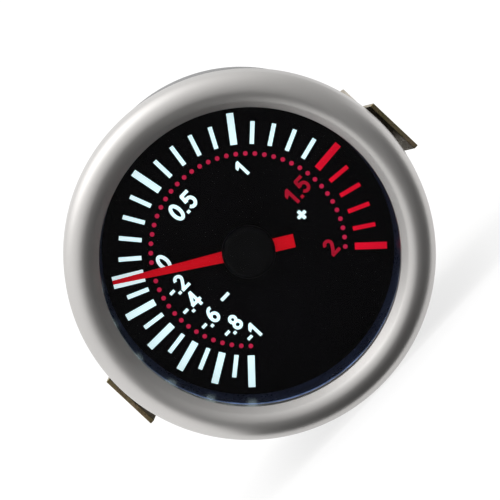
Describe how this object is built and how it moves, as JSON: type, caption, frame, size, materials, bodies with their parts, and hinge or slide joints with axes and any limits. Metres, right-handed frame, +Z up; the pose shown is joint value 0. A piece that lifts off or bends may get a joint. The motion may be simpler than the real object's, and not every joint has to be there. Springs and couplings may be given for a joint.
{
  "type": "boost gauge",
  "caption": "Round panel gauge for boost pressure and vacuum, with a bourdon tube movement, a clamp bracket on studs and a barbed hose nipple.",
  "frame": {"origin": "on the gauge's axis, in the plane of the bezel's rear face that seats on the panel", "axes": "+Y along the gauge's axis from the dial back to the hose nipple, +Z up as the dial reads, +X to the right of the dial as seen from the front"},
  "size_m": [0.0626, 0.0639, 0.06],
  "materials": {
    "bezel_silver": "fine satin silver, slightly warm",
    "lens_acrylic": "clear flat acrylic",
    "gasket_rubber": "matt black",
    "can_black": "semi-gloss black paint on drawn steel",
    "trim_black": "matt black moulding",
    "dial_black": "matt black print over a translucent disc, lit from behind",
    "guide_white": "milky moulded acrylic",
    "board_green": "green solder mask",
    "lamp_white": "white lamp body",
    "brass_plate": "stamped, brushed",
    "brass_turned": "turned, bright",
    "brass_block": "milled, slightly dull",
    "steel_bright": "bright zinc plated",
    "steel_dark": "phosphated spring steel",
    "steel_ground": "ground and polished",
    "fibre_red": "red fibre",
    "bronze_sintered": "sintered, rough",
    "grommet_rubber": "matt black",
    "bronze_tube": "drawn phosphor bronze",
    "spring_steel": "blued strip",
    "pointer_red": "bright red, slightly glossy",
    "cap_black": "black, soft gloss",
    "yellow_zinc": "yellow passivated zinc, olive to pale gold"
  },
  "bodies": {
    "case_body": {"bezel": "bezel_silver", "lens": "lens_acrylic", "lens_gasket": "gasket_rubber", "can": "can_black", "spacer_ring": "trim_black", "dial": "dial_black", "light_guide": "guide_white", "led_board": "board_green", "led_lamps": "lamp_white", "movement_front_plate": "brass_plate", "movement_back_plate": "brass_plate", "movement_pillars": "brass_turned", "movement_screws": "steel_bright", "movement_standoffs": "brass_turned", "standoff_screws": "steel_bright", "pressure_block": "brass_block", "stem_gasket": "fibre_red", "stem_washer": "steel_bright", "stem_nut": "brass_turned", "hose_nipple": "brass_turned", "restrictor": "bronze_sintered", "wire_grommet": "grommet_rubber", "bracket_studs": "steel_bright", "bourdon_tube": "bronze_tube", "hairspring": "spring_steel", "hairspring_stud": "brass_turned"},
    "pointer_body": {"pointer": "pointer_red", "hub_cap": "cap_black", "pointer_bush": "brass_turned", "pointer_arbor": "steel_ground", "pinion": "brass_turned", "hairspring_collet": "brass_turned"},
    "sector_body": {"sector_gear": "brass_plate", "sector_arbor": "steel_ground", "link_pin": "steel_ground"},
    "link_body": {"link": "brass_plate"},
    "tip_body": {"tube_tip": "brass_block"},
    "bracket_body": {"clamp_bracket": "yellow_zinc", "stud_washers": "steel_bright", "lock_washers": "steel_dark"},
    "left_nut_body": {"left_nut": "steel_bright"},
    "right_nut_body": {"right_nut": "steel_bright"}
  },
  "joints": [
    {"name": "tip_travel", "type": "slide", "parent": "case_body", "child": "tip_body", "axis": [0, 0, 1], "range_m": [-0.00085, 0.0021], "stiffness_N_per_m": 1500, "deforming": ["bourdon_tube"]},
    {"name": "pointer_turn", "type": "hinge", "parent": "case_body", "child": "pointer_body", "pos_m": [0, 0.0014, 0], "axis": [0, 1, 0], "range_deg": [-78, 192], "deforming": ["hairspring"]},
    {"name": "sector_swing", "type": "hinge", "parent": "case_body", "child": "sector_body", "pos_m": [0.01147, 0.01, -0.00803], "axis": [0, 1, 0], "range_deg": [-27.5, 11.2]},
    {"name": "link_swing", "type": "hinge", "parent": "sector_body", "child": "link_body", "pos_m": [0.01587, 0.0108, -0.00866], "axis": [0, 1, 0], "range_deg": [-11.2, 27.5]},
    {"name": "bracket_slide", "type": "slide", "parent": "case_body", "child": "bracket_body", "axis": [0, 1, 0], "range_m": [0, 0.0042]},
    {"name": "right_nut_turn", "type": "hinge", "parent": "bracket_body", "child": "right_nut_body", "pos_m": [0.017, 0.0455, -0.003], "axis": [0, 1, 0], "range_deg": [0, 2160]},
    {"name": "left_nut_turn", "type": "hinge", "parent": "bracket_body", "child": "left_nut_body", "pos_m": [-0.017, 0.0455, -0.003], "axis": [0, 1, 0], "range_deg": [0, 2160]}
  ],
  "couplings": [
    {"joint": "pointer_turn", "follows": "tip_travel", "rad_per_m": 1595.7},
    {"joint": "sector_swing", "follows": "tip_travel", "rad_per_m": -227.95},
    {"joint": "link_swing", "follows": "tip_travel", "rad_per_m": 227.95},
    {"joint": "right_nut_turn", "follows": "bracket_slide", "rad_per_m": 8976},
    {"joint": "left_nut_turn", "follows": "bracket_slide", "rad_per_m": 8976}
  ]
}
